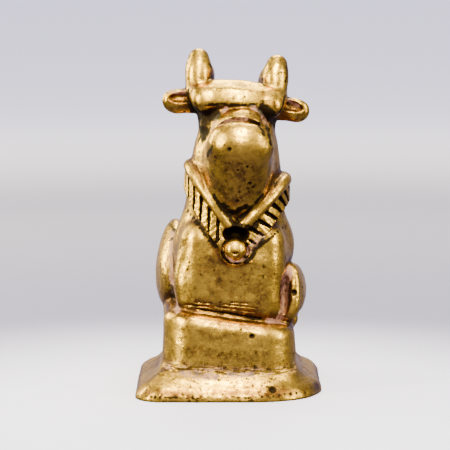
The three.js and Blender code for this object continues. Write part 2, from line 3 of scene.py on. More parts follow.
import bpy
import numpy as np
from mathutils import Euler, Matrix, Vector


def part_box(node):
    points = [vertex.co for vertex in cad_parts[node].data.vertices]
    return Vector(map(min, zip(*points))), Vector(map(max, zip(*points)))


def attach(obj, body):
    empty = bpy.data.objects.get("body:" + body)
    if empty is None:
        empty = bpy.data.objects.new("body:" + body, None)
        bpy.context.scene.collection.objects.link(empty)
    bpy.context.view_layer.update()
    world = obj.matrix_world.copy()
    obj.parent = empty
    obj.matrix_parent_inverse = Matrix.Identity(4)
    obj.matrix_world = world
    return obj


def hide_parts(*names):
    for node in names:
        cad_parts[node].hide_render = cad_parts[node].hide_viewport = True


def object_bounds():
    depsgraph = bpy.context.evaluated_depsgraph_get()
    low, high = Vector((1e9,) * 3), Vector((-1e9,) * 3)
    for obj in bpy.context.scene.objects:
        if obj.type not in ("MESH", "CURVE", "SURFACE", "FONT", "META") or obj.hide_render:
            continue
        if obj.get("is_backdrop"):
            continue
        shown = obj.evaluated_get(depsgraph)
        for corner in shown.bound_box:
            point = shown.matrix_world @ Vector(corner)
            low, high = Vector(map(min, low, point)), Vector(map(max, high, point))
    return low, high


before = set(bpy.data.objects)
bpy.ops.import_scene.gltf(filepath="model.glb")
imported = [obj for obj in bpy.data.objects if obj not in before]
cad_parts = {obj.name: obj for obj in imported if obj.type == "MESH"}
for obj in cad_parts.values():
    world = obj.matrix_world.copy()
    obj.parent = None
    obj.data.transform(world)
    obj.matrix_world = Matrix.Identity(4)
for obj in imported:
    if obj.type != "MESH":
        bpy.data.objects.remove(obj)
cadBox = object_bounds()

# The bull is formed in millimetres, +Z up, facing -Y, and turned into metres when its mesh is made.
metre = 0.001
cadLow, cadHigh = (np.array(corner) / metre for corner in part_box("nandi_bull_figure"))


# Forms. Each takes points and gives about how far they lie outside it, and less than nothing inside it.


def gapToBox(p, low, high):
    # how far a whole group of points lies from a box
    gap = np.maximum(np.maximum(low - p.max(0), p.min(0) - high), 0)
    return float(np.sqrt((gap * gap).sum()))


def egg(middle, radii, turn=(0, 0, 0)):
    middle = np.array(middle, np.float32)
    radii = np.array(radii, np.float32)
    axes = np.array(Euler(turn, "ZYX").to_matrix(), np.float32)
    ball = radii.max()

    def form(p):
        gap = gapToBox(p, middle - ball, middle + ball)
        if gap > mesh["farOff"]:
            return np.full(len(p), gap, np.float32)
        spread = (p - middle) @ axes / radii
        reach = np.sqrt((spread * spread).sum(1))
        slope = np.sqrt(((spread / radii) ** 2).sum(1))
        return np.where(slope < 1e-5, -radii.min(), reach * (reach - 1) / np.maximum(slope, 1e-5))

    return form


def smoothLine(points, steps):
    # a smooth curve through the points, whatever numbers they hold
    points = np.array(points, float)
    before = 2 * points[0] - points[1]
    after = 2 * points[-1] - points[-2]
    padded = np.vstack([before, points, after])
    line = []
    for i in range(len(points) - 1):
        a, b, c, d = padded[i : i + 4]
        for t in np.arange(steps) / steps:
            rise, fall = (c - a) / 2, (d - b) / 2
            line.append(
                b + rise * t + (3 * (c - b) - 2 * rise - fall) * t**2 + (2 * (b - c) + rise + fall) * t**3
            )
    line.append(points[-1])
    return np.array(line)


def limb(points, thickness, steps=5):
    line = smoothLine(np.column_stack([points, thickness]), steps).astype(np.float32)
    low = line[:, :3].min(0) - max(thickness)
    high = line[:, :3].max(0) + max(thickness)

    def form(p):
        gap = gapToBox(p, low, high)
        if gap > mesh["farOff"]:
            return np.full(len(p), gap, np.float32)
        nearest = np.full(len(p), np.inf, np.float32)
        for start, end in zip(line, line[1:]):
            run = end[:3] - start[:3]
            spread = p - start[:3]
            t = np.clip(spread @ run / (run @ run), 0, 1)
            away = np.sqrt(((spread - t[:, None] * run) ** 2).sum(1))
            nearest = np.minimum(nearest, away - start[3] - t * (end[3] - start[3]))
        return nearest

    return form


def block(middle, halves, edge):
    middle = np.array(middle, np.float32)
    halves = np.array(halves, np.float32)

    def form(p):
        q = np.abs(p - middle) - halves + edge
        outside = np.sqrt((np.maximum(q, 0) ** 2).sum(1))
        return outside + np.minimum(q.max(1), 0) - edge

    return form


def soften(a, b, fillet):
    near = np.maximum(fillet - np.abs(a - b), 0) / fillet
    return np.minimum(a, b) - near * near * fillet * 0.25


def join(fillet, *forms):
    def form(p):
        d = forms[0](p)
        for other in forms[1:]:
            d = soften(d, other(p), fillet)
        return d

    return form


def carve(fillet, whole, *tools):
    def form(p):
        d = whole(p)
        for tool in tools:
            d = -soften(-d, tool(p), fillet)
        return d

    return form


def leaning(form, pivot, degrees):
    # turned about the Y axis through a point, clockwise as seen from the front
    c, s = math.cos(math.radians(degrees)), math.sin(math.radians(degrees))

    def turned(p):
        x, z = p[:, 0] - pivot[0], p[:, 2] - pivot[2]
        return form(np.column_stack([pivot[0] + c * x - s * z, p[:, 1], pivot[2] + s * x + c * z]))

    return turned


def bothSides(make):
    return [make(-1), make(1)]


# The foot and the plinth.

# the foot's flared skirt, with corners filed unevenly by hand
foot = {
    "width": cadHigh[0] - cadLow[0],
    "length": cadHigh[1] - cadLow[1],
    "height": 5.6,
    "rim": 1.7,
    "edge": 0.8,
    "slopeRun": 5.2,
    "backFall": 0.05,
    "cornerFrontRight": 6.0,
    "cornerFrontLeft": 14.0,
    "cornerBack": 16.0,
}

# the block that the bull lies on, whose top falls to the bull's left
plinth = {
    "width": 26.4,
    "length": 42.0,
    "height": 10.4,
    "corner": 7.0,
    "edge": 1.3,
    "topSlope": 0.14,
    "batter": 0.05,
}
seat = foot["height"] + plinth["height"]


def outsideRectangle(x, y, width, length, corner):
    qx = np.abs(x) - width / 2 + corner
    qy = np.abs(y) - length / 2 + corner
    return np.hypot(np.maximum(qx, 0), np.maximum(qy, 0)) + np.minimum(np.maximum(qx, qy), 0) - corner


def footForm(p):
    x, y, z = p.T
    frontCorner = np.where(x < 0, foot["cornerFrontRight"], foot["cornerFrontLeft"])
    corner = np.where(y < 0, frontCorner, foot["cornerBack"])
    edge = outsideRectangle(x, y, foot["width"], foot["length"], corner)
    inward = np.clip(-edge / foot["slopeRun"], 0, 1)
    rise = foot["height"] - foot["rim"] - (y + foot["length"] / 2) * foot["backFall"]
    steepness = np.hypot(rise, foot["slopeRun"]) / foot["slopeRun"]
    above = (z - foot["rim"] - rise * inward) / steepness
    return -soften(-edge, -above, foot["edge"] * 2)


def plinthForm(p):
    x, y, z = p.T
    spread = (seat - z) * plinth["batter"]
    side = outsideRectangle(x, y, plinth["width"], plinth["length"], plinth["corner"]) - spread
    above = z - seat + x * plinth["topSlope"]
    return -soften(-side, -above, plinth["edge"] * 2)


# The bull, piece by piece. Its places and radii are in hundredths of its height.

# the bull's pose, in degrees, and how far its horns reach in hundredths of its height
bull = {
    "lean": 2.0,
    "headLean": 2.5,
    "hornsReach": 99.67,
    "noseAside": 2.2,
}
percent = (cadHigh[2] - seat) / bull["hornsReach"]


def at(x, y, z):
    # a place on the bull, in hundredths of its height from where it sits
    return np.array([x * percent, y * percent, seat + z * percent])


def shares(*values):
    return [value * percent for value in values]


def trunkForm():
    barrel = egg(at(0, 8, 14), shares(22, 31, 22))
    rump = egg(at(0, 25, 12), shares(19, 14.5, 18))
    chest = block(at(0.4, -14, 12), shares(20.4, 19.5, 17.5), 9.5 * percent)
    shoulders = egg(at(1.5, -10, 26), shares(22, 19, 16))
    nape = [at(0.6, -12, 28), at(0.6, -14, 44), at(0.6, -16, 58), at(0.6, -18, 68)]
    neck = limb(nape, shares(19, 18.2, 16.6, 14.4))
    hump = egg(at(0, 7, 42), shares(8, 10, 12), (-0.35, 0, 0))
    breast = block(at(0.4, -16, 17.5), shares(19.6, 17.3, 18.5), 8 * percent)
    return join(2 * percent, join(7 * percent, barrel, rump, chest, shoulders, neck, hump), breast)


def thighForms():
    rightThigh = egg(at(-22.6, 12, 14), shares(6.2, 20, 15), (0.6, 0.1, 0))
    leftThigh = egg(at(24.8, 13, 5.5), shares(5.4, 18, 9), (0.12, -0.1, 0))
    return [rightThigh, leftThigh]


def shankForms():
    rightHock = [at(-23, 30, 8), at(-23.4, 25, 0), at(-22.4, 10, -1.6), at(-21.6, -4, -2.4)]
    leftHock = [at(23.6, 31, 4), at(24.8, 24, -3), at(24.4, 10, -3.6), at(23.8, -2, -4.6)]
    rightShank = limb(rightHock, shares(3.8, 3.8, 3, 3.2))
    leftShank = limb(leftHock, shares(3.8, 3.6, 2.8, 3))
    return [rightShank, leftShank]


def foreLegForms():
    right = limb([at(-14, -24, 28), at(-16, -27, 14), at(-15, -27, 4)], shares(5, 5, 4.5))
    elbow = egg(at(20.6, -7, 8), shares(5.2, 15, 11))
    forearm = egg(at(23.2, -16.6, 9), shares(2.9, 8.4, 10.4))
    shin = [(19.6, -18, 18.6), (22.8, -21, 17.4), (24.2, -23, 11.6), (24, -24, 4.8), (22, -24, 0)]
    left = limb([at(*place) for place in shin], shares(2, 2.3, 2.6, 2.8, 2.8))
    return [right, elbow, forearm, left]


def tailForm():
    line = [at(0, 36, 26), at(3, 40.5, 16), at(10, 39, 6), at(18, 34, 3), at(23, 27, 8)]
    return limb(line, shares(2.4, 2, 1.8, 1.8, 2.8))


def headForm():
    aside = bull["noseAside"]
    skull = egg(at(0, -17, 76.6), shares(15.2, 12, 11.4))
    crown = limb([at(-14, -19, 82.4), at(0, -21.4, 82.8), at(14, -19, 82.4)], shares(4.8, 5.5, 4.8))
    brow = limb([at(-14, -23, 81.4), at(0, -26, 82.2), at(14, -23, 81.4)], shares(4, 4, 4))
    visor = limb([at(-13, -25.4, 79.6), at(0, -29.2, 80.4), at(13, -25.4, 79.6)], shares(2.4, 2.3, 2.4))
    lobes = bothSides(lambda side: egg(at(side * 12, -25, 79.6), shares(5, 4.4, 4.6)))
    bridge = egg(at(aside, -28.6, 71), shares(9.3, 11, 8))
    muzzle = egg(at(aside, -36.6, 65.6), shares(12.5, 9.4, 9.2), (0.2, 0, 0))
    jaw = egg(at(aside * 0.8, -30, 58.5), shares(12.4, 13, 10.5))
    gullet = [at(aside, -29, 60), at(aside + 0.2, -27.5, 50), at(aside - 0.6, -22, 38)]
    throat = limb(gullet, shares(11.8, 12, 8.5))
    sockets = bothSides(lambda side: egg(at(side * 11.4, -29.5, 73), shares(3.2, 6, 4.6)))
    eyes = bothSides(lambda side: egg(at(side * 11.2, -23.4, 71), shares(1.8, 2, 2)))
    crease = [(-8.8, -32, 69.8), (-6, -36.4, 72.9), (0, -38.4, 74.6), (6, -36.4, 72.9), (8.8, -32, 69.8)]
    groove = limb([at(aside + x, y, z) for x, y, z in crease], shares(0.9, 1.4, 1.5, 1.4, 0.9))
    face = join(3.5 * percent, skull, jaw, throat, join(1.2 * percent, bridge, muzzle))
    hollowed = carve(0.8 * percent, carve(1.5 * percent, face, *sockets), groove)
    forehead = join(2 * percent, crown, brow, visor)
    return join(1.2 * percent, hollowed, forehead, *lobes, *eyes, *earForms(), *hornForms())


def earForms():
    def ear(side):
        leaf = egg(at(side * 17 - 0.5, -16, 78.8), shares(9, 3.4, 4.8), (0, side * 0.08, 0))
        tip = egg(at(side * 23 - 0.5, -16.4, 78.2), shares(4.8, 2.8, 4.3))
        slot = egg(at(side * 20 - 0.5, -19.8, 80.2), shares(6, 3, 2.1), (0, side * 0.16, 0))
        return carve(0.6 * percent, join(2 * percent, leaf, tip), slot)

    return bothSides(ear)


def hornForms():
    def horn(side):
        def spot(aside, y, z):
            return at(side * aside - 1, y, z)

        front = limb([spot(14.3, -18, 83), spot(14.5, -16, 90), spot(14.9, -13, 94.6)], shares(4.6, 5, 4))
        back = egg(spot(13.5, -10, 88), shares(5.2, 6, 6.4))
        return join(3 * percent, front, back)

    return bothSides(horn)


# the collar's line round the neck, in hundredths of the bull's height, and in millimetres its roll and the
# band under it with its cut strokes
collar = {
    "middle": (1.4, -16.4),
    "halfWidth": 18.1,
    "halfDepth": 17.2,
    "throatHeight": 32.0,
    "sideRise": 21.4,
    "napeRise": 8.0,
    "fall": 0.1,
    "rollRadius": 1.3,
    "bandWidth": 3.4,
    "bandThickness": 2.2,
    "bandEdge": 0.3,
    "bandOverlap": 0.33,
    "bandSetback": 0.39,
    "strokeDepth": 0.8,
    "strokeWidthRight": 0.62,
    "strokeWidthLeft": 0.55,
    "strokePitchRight": 1.9,
    "strokePitchLeft": 2.2,
    "strokeSlantRight": 40.0,
    "strokeSlantLeft": 108.0,
    "strokeUneven": 0.25,
    "strokeTaper": 0.5,
    "strokeFoot": 0.1,
    "stretches": 96,
}


def collarPoint(angle):
    # the roll's line by its angle round the neck from the throat
    aside = math.sin(angle)
    back = max(-math.cos(angle), 0)
    x = collar["middle"][0] + collar["halfWidth"] * aside
    y = collar["middle"][1] - collar["halfDepth"] * math.cos(angle)
    height = collar["throatHeight"] + collar["sideRise"] * abs(aside) + collar["napeRise"] * back**2
    return at(x, y, height - collar["fall"] * x)


def collarForms():
    # the collar without its strokes, and the strokes that are cut in its band
    count = collar["stretches"]
    points = np.array([collarPoint(2 * math.pi * i / count - math.pi) for i in range(count + 1)])
    starts, runs = points[:-1], np.diff(points, axis=0)
    lengths = np.linalg.norm(runs, axis=1)
    travelled = np.concatenate([[0], np.cumsum(lengths)])
    outward = starts + runs / 2 - at(0.5, -16.4, 0)
    outward[:, 2] = 0
    outward /= np.linalg.norm(outward, axis=1, keepdims=True)
    outward[:, 2] = 0.05
    outward -= runs * ((outward * runs).sum(1) / lengths**2)[:, None]
    outward /= np.linalg.norm(outward, axis=1, keepdims=True)
    downward = np.cross(outward, runs)
    downward /= np.linalg.norm(downward, axis=1, keepdims=True)
    downward *= np.where(downward[:, 2] > 0, -1, 1)[:, None]
    reach = collar["rollRadius"] + collar["bandWidth"]
    low, high = points.min(0) - reach, points.max(0) + reach

    def unrolled(p):
        best = np.full(len(p), np.inf)
        found = np.zeros(len(p), int)
        share = np.zeros(len(p))
        for i in range(count):
            spread = p - starts[i]
            t = np.clip(spread @ runs[i] / lengths[i] ** 2, 0, 1)
            away = ((spread - t[:, None] * runs[i]) ** 2).sum(1)
            closer = away < best
            best[closer] = away[closer]
            found[closer] = i
            share[closer] = t[closer]
        spread = p - starts[found] - share[:, None] * runs[found]
        out = (spread * outward[found]).sum(1)
        down = (spread * downward[found]).sum(1)
        along = travelled[found] + share * lengths[found] - travelled[-1] / 2
        return out, down, along, np.sqrt(best)

    def within(section):
        def form(p):
            gap = gapToBox(p, low, high)
            if gap > mesh["farOff"]:
                return np.full(len(p), gap, np.float32)
            away = np.sqrt((np.maximum(np.maximum(low - p, p - high), 0) ** 2).sum(1))
            found = section(*unrolled(p)).astype(np.float32)
            return np.where(away > 1, np.maximum(away, found), found)

        return form

    return within(collarSection), within(strokeSection)


def bandAcross(down):
    middle = collar["rollRadius"] - collar["bandOverlap"] + collar["bandWidth"] / 2
    return np.abs(down - middle) - collar["bandWidth"] / 2


def collarSection(out, down, along, gap):
    # the roll's circle and the band's flat bar
    roll = gap - collar["rollRadius"]
    face = collar["rollRadius"] - collar["bandSetback"]
    half = collar["bandThickness"] / 2
    across = bandAcross(down) + collar["bandEdge"]
    through = np.abs(out - face + half) - half + collar["bandEdge"]
    beyond = np.hypot(np.maximum(across, 0), np.maximum(through, 0))
    band = beyond + np.minimum(np.maximum(across, through), 0) - collar["bandEdge"]
    return np.minimum(roll, band)


def strokeSection(out, down, along, gap):
    # wedge strokes sunk in the band's face, wider by the roll, each a little unlike the next
    face = collar["rollRadius"] - collar["bandSetback"]
    onRight = along < 0
    slant = np.radians(np.where(onRight, collar["strokeSlantRight"], collar["strokeSlantLeft"]))
    pitch = np.where(onRight, collar["strokePitchRight"], collar["strokePitchLeft"])
    width = np.where(onRight, collar["strokeWidthRight"], collar["strokeWidthLeft"])
    place = (np.abs(along) * np.sin(slant) + down * np.cos(slant)) / pitch
    index = np.floor(place)
    uneven = 1 + collar["strokeUneven"] * np.sin(index * 12.9 + onRight * 3)
    share = np.clip((down - collar["rollRadius"]) / collar["bandWidth"], 0, 1)
    taper = 1.2 - collar["strokeTaper"] * share
    stroke = np.abs(place - index - 0.5) * pitch - width * uneven * taper / 2
    depth = face - collar["strokeDepth"] - out
    beside = np.maximum(bandAcross(down) + collar["strokeFoot"], collar["rollRadius"] - gap)
    return np.maximum(np.maximum(stroke, depth), beside)


# the ball bell with its slot, in a sunk ring with a raised rim
bell = {
    "radius": 2.3,
    "slotWidth": 1.3,
    "slotHeight": 0.6,
    "slotDepth": 0.8,
    "ringGap": 0.1,
    "ringWidth": 0.7,
    "rimWidth": 0.6,
    "pocketRise": 1.35,
    "pocketShares": (1.15, 1.3, 0.7),
}
bellMiddle = at(1.4, -34.6, 26)


def bellForm():
    x, y, z = bellMiddle
    radius = bell["radius"]
    ball = egg(bellMiddle, [radius] * 3)
    mouth = [x, y - radius, z - radius / 6]
    slot = egg(mouth, [bell["slotWidth"] / 2, bell["slotDepth"], bell["slotHeight"] / 2])
    return carve(bell["slotHeight"] / 4, ball, slot)


def hoop(radius, thickness):
    # a round bar bent into a ring about the bell
    x, y, z = bellMiddle

    def form(p):
        around = np.hypot(p[:, 0] - x, p[:, 2] - z) - radius
        return np.hypot(around, p[:, 1] - y) - thickness

    return form


def bellRimForm():
    return hoop(bell["radius"] + bell["ringWidth"], bell["rimWidth"] / 2)


def bellHollowForms():
    # the dark pocket over the bell and the groove round it
    x, y, z = bellMiddle
    radius = bell["radius"]
    above = egg([x, y, z + bell["pocketRise"] * radius], [share * radius for share in bell["pocketShares"]])
    return [above, hoop(radius + bell["ringGap"], bell["ringWidth"] / 2)]


def legHollowForms():
    channel = [at(-21.2, -6, 37), at(-22.6, -9, 24), at(-22.6, -11, 8), at(-21.6, -12, 1)]
    fold = limb(channel, shares(1.4, 1.9, 2.1, 2.2))
    right = egg(at(-20.6, -18, 4), shares(1.9, 6, 7), (0.1, 0.12, 0))
    left = egg(at(20.4, -26, 9.2), shares(1.9, 5, 7.6))
    return [fold, right, left]


def bullForm(isCarved):
    body = join(3 * percent, trunkForm(), *thighForms())
    flesh = join(1.4 * percent, body, *shankForms(), *foreLegForms())
    hollowed = carve(1 * percent, flesh, *legHollowForms())
    withTail = join(1.2 * percent, hollowed, tailForm())
    withHead = join(3 * percent, withTail, leaning(headForm(), at(0, 0, 70), bull["headLean"]))
    plainCollar, strokes = collarForms()
    collared = join(0.8, withHead, plainCollar)
    if isCarved:
        collared = join(0.5, carve(0.12, collared, strokes), bellRimForm())
        collared = carve(0.4, collared, *bellHollowForms())
    return join(0.3, collared, bellForm())


def figureForm(isCarved):
    # the whole figure, or the figure before its band and the bell's surroundings were cut
    base = join(2.2, plinthForm, footForm)
    whole = join(0.9, base, leaning(bullForm(isCarved), at(0, 0, 0), bull["lean"]))
    return lambda p: np.maximum(whole(p), -p[:, 2])


# Sampling the form, first coarsely and then finely near its surface only.

# how finely the figure is sampled, how many triangles it keeps, the room left round it, and how far off
# a form counts by its box alone
mesh = {
    "cell": 0.2,
    "triangles": 192000,
    "margin": 1.6,
    "farOff": 4.0,
}


def measure(form, p, room=6.0):
    # the form at many points, taken in groups that lie close together
    keys = np.floor(p / room).astype(np.int64) @ np.array([1, 1000, 1000000])
    order = np.argsort(keys, kind="stable")
    groups = np.split(order, np.flatnonzero(np.diff(keys[order])) + 1)
    values = np.empty(len(p), np.float32)
    for group in groups:
        values[group] = form(p[group])
    return values


def sample(form, low, counts, step):
    size = 16
    values = None
    while size >= 1:
        shape = [math.ceil(count / size) for count in counts]
        if values is None:
            near = np.ones(shape, bool)
            values = np.empty(shape, np.float32)
        else:
            for axis in range(3):
                values = np.repeat(values, 2, axis)
            values = values[tuple(slice(0, count) for count in shape)].copy()
            near = np.abs(values) < math.sqrt(3) * size * step * 1.5 + step
        spots = np.argwhere(near)
        places = low + (spots * size + (size - 1) / 2) * step
        values[near] = measure(form, places.astype(np.float32))
        size //= 2
    return values


def skin(values, low, step):
    # one corner in each cell that the surface passes through, and a face across each edge that it cuts
    inside = values < 0
    cut = [slice(0, -1), slice(1, None)]
    corners = [(a & 1, a >> 1 & 1, a >> 2 & 1) for a in range(8)]
    count = sum(inside[cut[i], cut[j], cut[k]].astype(np.uint8) for i, j, k in corners)
    active = (count > 0) & (count < 8)
    cells = np.argwhere(active)
    cornerOf = np.full(active.shape, -1, np.int32)
    cornerOf[active] = np.arange(len(cells))
    middle = np.zeros((len(cells), 3))
    crossings = np.zeros(len(cells))
    found = [values[tuple((cells + corner).T)] for corner in corners]
    for a, corner in enumerate(corners):
        for axis in range(3):
            if corner[axis]:
                continue
            before, after = found[a], found[a | 1 << axis]
            crosses = (before < 0) != (after < 0)
            t = before[crosses] / (before[crosses] - after[crosses])
            middle[crosses] += corner
            middle[crosses, axis] += t
            crossings += crosses
    places = low + (cells + middle / crossings[:, None]) * step
    faces = []
    for axis in range(3):
        u, v = np.roll(np.eye(3, dtype=int), axis, axis=0)[1:3]
        along = np.roll(np.eye(3, dtype=int), axis, axis=0)[0]
        ahead = tuple(slice(int(n), None) for n in along)
        back = tuple(slice(0, -1 if n else None) for n in along)
        spots = np.argwhere(inside[ahead] != inside[back])
        ring = [cornerOf[tuple((spots - shift).T)] for shift in (0 * u, u, u + v, v)]
        ring = np.column_stack(ring)
        isOutside = ~inside[tuple(spots.T)]
        ring[isOutside] = ring[isOutside][:, ::-1]
        faces.append(ring)
    return places, np.vstack(faces)


def largestBody(places, faces):
    # keeps the one body that is joined up, and drops any bubble shut in it
    label = np.arange(len(places))
    a = faces.ravel()
    b = np.roll(faces, 1, axis=1).ravel()
    while True:
        lower = np.minimum(label[a], label[b])
        new = label.copy()
        np.minimum.at(new, a, lower)
        np.minimum.at(new, b, lower)
        new = new[new]
        if (new == label).all():
            break
        label = new
    main = np.bincount(label).argmax()
    kept = label == main
    number = np.cumsum(kept) - 1
    return places[kept], number[faces[kept[faces[:, 0]]]]


# Chance, the same on each run.


def chance(cells, salt):
    # a number from 0 to 1 for each lattice cell
    x, y, z = (cells[:, axis].astype(np.uint32) for axis in range(3))
    h = x * np.uint32(374761393) + y * np.uint32(668265263) + z * np.uint32(2246822519)
    h = h + np.uint32(salt * 40503 + 7)
    h = (h ^ (h >> np.uint32(13))) * np.uint32(1274126177)
    h = (h ^ (h >> np.uint32(16))) * np.uint32(2654435761)
    return ((h ^ (h >> np.uint32(15))) & np.uint32(0xFFFFFF)) / float(0xFFFFFF)


def swell(p, size, salt):
    # smooth noise from -1 to 1, with swells about as wide as size
    q = p / size
    base = np.floor(q).astype(np.int64)
    f = q - base
    w = f * f * f * (f * (f * 6 - 15) + 10)
    total = np.zeros(len(p))
    for corner in range(8):
        offset = np.array([corner & 1, corner >> 1 & 1, corner >> 2 & 1])
        weight = np.where(offset, w, 1 - w).prod(1)
        total += weight * (chance(base + offset, salt) * 2 - 1)
    return total


def pits(p, size, share, salt):
    # how deep in a round pit each point lies, from 0 to 1, with a pit in that share of the cells
    base = np.floor(p / size).astype(np.int64)
    spread = p / size - base
    radius = 0.1 + 0.22 * chance(base, salt + 4) ** 2
    room = 1 - 2 * radius[:, None]
    middle = radius[:, None] + room * np.column_stack([chance(base, salt + n) for n in (1, 2, 3)])
    reach = np.sqrt(((spread - middle) ** 2).sum(1)) / radius
    return np.where(chance(base, salt) < share, np.clip(1 - reach * reach, 0, 1), 0)


# Places in the photograph, found on the figure by looking along the camera's line.

# the photograph's camera: its height angle, how far it stands from the spot it aims at, its lens, and how far
# before and behind that spot the figure is searched for
view = {
    "elevation": 7.0,
    "distance": 520.0,
    "target": (-0.8, -12.0, 34.21),
    "focal": 2557.8,
    "image": 450,
    "sensor": 36.0,
    "clip": 0.01,
    "searchBefore": 45.0,
    "searchBehind": 60.0,
    "searchStep": 0.15,
}
elevation = math.radians(view["elevation"])
cameraForward = np.array([0, math.cos(elevation), -math.sin(elevation)])
cameraUp = np.array([0, math.sin(elevation), math.cos(elevation)])
cameraPlace = np.array(view["target"]) - cameraForward * view["distance"]


def seen(form, pixels):
    # the first point of the figure under each of the photograph's pixels, and none where it isn't there
    half = view["image"] / 2
    pixels = np.array(pixels, float)
    across = (pixels[:, :1] - half) * np.array([1, 0, 0]) + (half - pixels[:, 1:2]) * cameraUp
    rays = cameraForward + across / view["focal"]
    start = view["distance"] - view["searchBefore"]
    end = view["distance"] + view["searchBehind"]
    reach = np.arange(start, end, view["searchStep"])
    line = (cameraPlace + reach[None, :, None] * rays[:, None, :]).astype(np.float32)
    inside = measure(form, line.reshape(-1, 3)).reshape(len(pixels), -1) < 0
    first = line[np.arange(len(pixels)), inside.argmax(1)]
    return first[inside.any(1)]


def near(p, middle, radius):
    # 1 at a spot, falling softly to 0 at its radius
    reach = np.sqrt(((p - middle) ** 2).sum(1)) / radius
    return np.clip(1 - reach, 0, 1) ** 2 * (1 + 2 * np.clip(reach, 0, 1))


